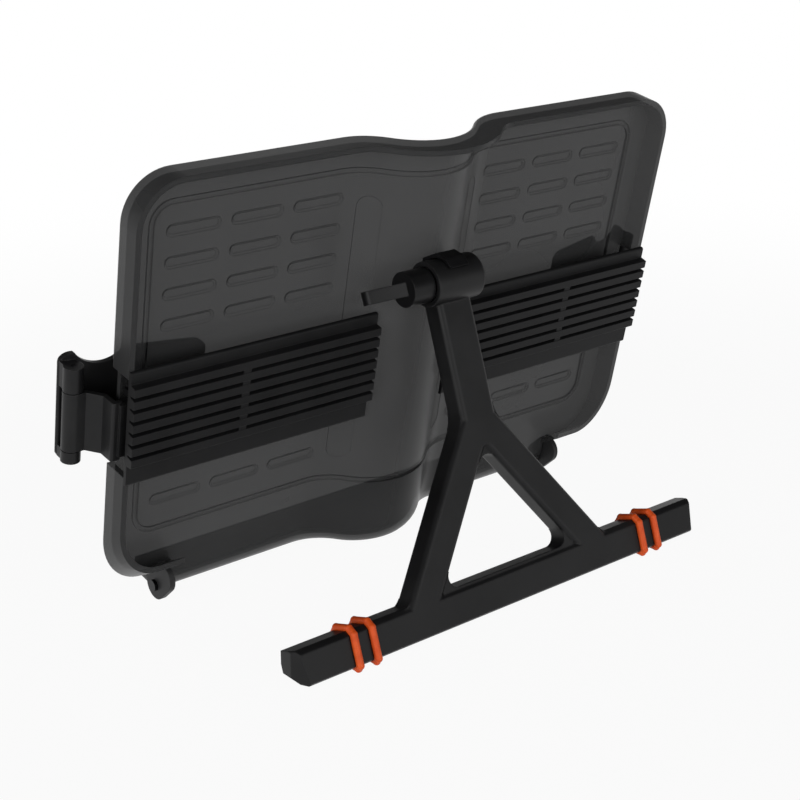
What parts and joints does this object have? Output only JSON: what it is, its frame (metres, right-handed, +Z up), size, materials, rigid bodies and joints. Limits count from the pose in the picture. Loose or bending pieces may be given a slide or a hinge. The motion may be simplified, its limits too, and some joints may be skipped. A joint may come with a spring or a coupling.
{
  "type": "book stand",
  "caption": "Tilting book stand: a smoked plate with a spine trough and ledge on a leaning leg, with sliding, hinged page holders and a wing knob.",
  "frame": {"origin": "middle of the underside of the foot bar", "axes": "+X along the foot bar to the right seen from behind, +Y towards the reader, +Z up"},
  "size_m": [0.3448, 0.1418, 0.2145],
  "materials": {
    "black_leg": "fine satin moulding",
    "orange_rubber": "smooth moulded rubber",
    "smoked": "smoked translucent moulding",
    "black_guide": "fine satin moulding",
    "black_holder": "fine satin moulding",
    "black_bracket": "fine satin moulding",
    "black_knob": "fine satin moulding",
    "grey_foot": "fine satin moulding",
    "steel": "plain turned steel"
  },
  "bodies": {
    "base": {"leg_frame": "black_leg", "ring_left_outer": "orange_rubber", "ring_left_inner": "orange_rubber", "ring_right_inner": "orange_rubber", "ring_right_outer": "orange_rubber", "tilt_bolt": "steel", "washer": "steel"},
    "panel": {"plate": "smoked", "tilt_bracket": "black_bracket", "bracket_screws": "steel", "guide_left": "black_guide", "guide_right": "black_guide", "foot_pin_left": "steel", "foot_pin_right": "steel"},
    "knob": {"wing_knob": "black_knob"},
    "holder_left": {"slide_left": "black_holder", "hinge_pin_left": "steel"},
    "holder_right": {"slide_right": "black_holder", "hinge_pin_right": "steel"},
    "page_finger_left": {"finger_left": "black_holder"},
    "page_finger_right": {"finger_right": "black_holder"},
    "swing_foot_left": {"foot_left": "grey_foot"},
    "swing_foot_right": {"foot_right": "grey_foot"}
  },
  "joints": [
    {"name": "tilt", "type": "hinge", "parent": "base", "child": "panel", "pos_m": [0, 0.04587, 0.1437], "axis": [1, 0, 0], "range_deg": [-28.5, 30]},
    {"name": "knob_turn", "type": "hinge", "parent": "base", "child": "knob", "pos_m": [-0.02, 0.04587, 0.1437], "axis": [1, 0, 0], "range_deg": [-270, 0]},
    {"name": "holder_left_slide", "type": "slide", "parent": "panel", "child": "holder_left", "axis": [-1, 0, 0], "range_m": [-0.003, 0.03]},
    {"name": "holder_right_slide", "type": "slide", "parent": "panel", "child": "holder_right", "axis": [1, 0, 0], "range_m": [-0.003, 0.03]},
    {"name": "finger_left_hinge", "type": "hinge", "parent": "holder_left", "child": "page_finger_left", "pos_m": [-0.168, 0.09595, 0.1047], "axis": [0, -0.1994, 0.9799], "range_deg": [0, 95]},
    {"name": "finger_right_hinge", "type": "hinge", "parent": "holder_right", "child": "page_finger_right", "pos_m": [0.168, 0.09595, 0.1047], "axis": [0, 0.1994, -0.9799], "range_deg": [0, 95]},
    {"name": "foot_left_swing", "type": "hinge", "parent": "panel", "child": "swing_foot_left", "pos_m": [-0.1238, 0.1083, 0.00486], "axis": [1, 0, 0], "range_deg": [0, 40]},
    {"name": "foot_right_swing", "type": "hinge", "parent": "panel", "child": "swing_foot_right", "pos_m": [0.1238, 0.1083, 0.00486], "axis": [1, 0, 0], "range_deg": [0, 40]}
  ]
}
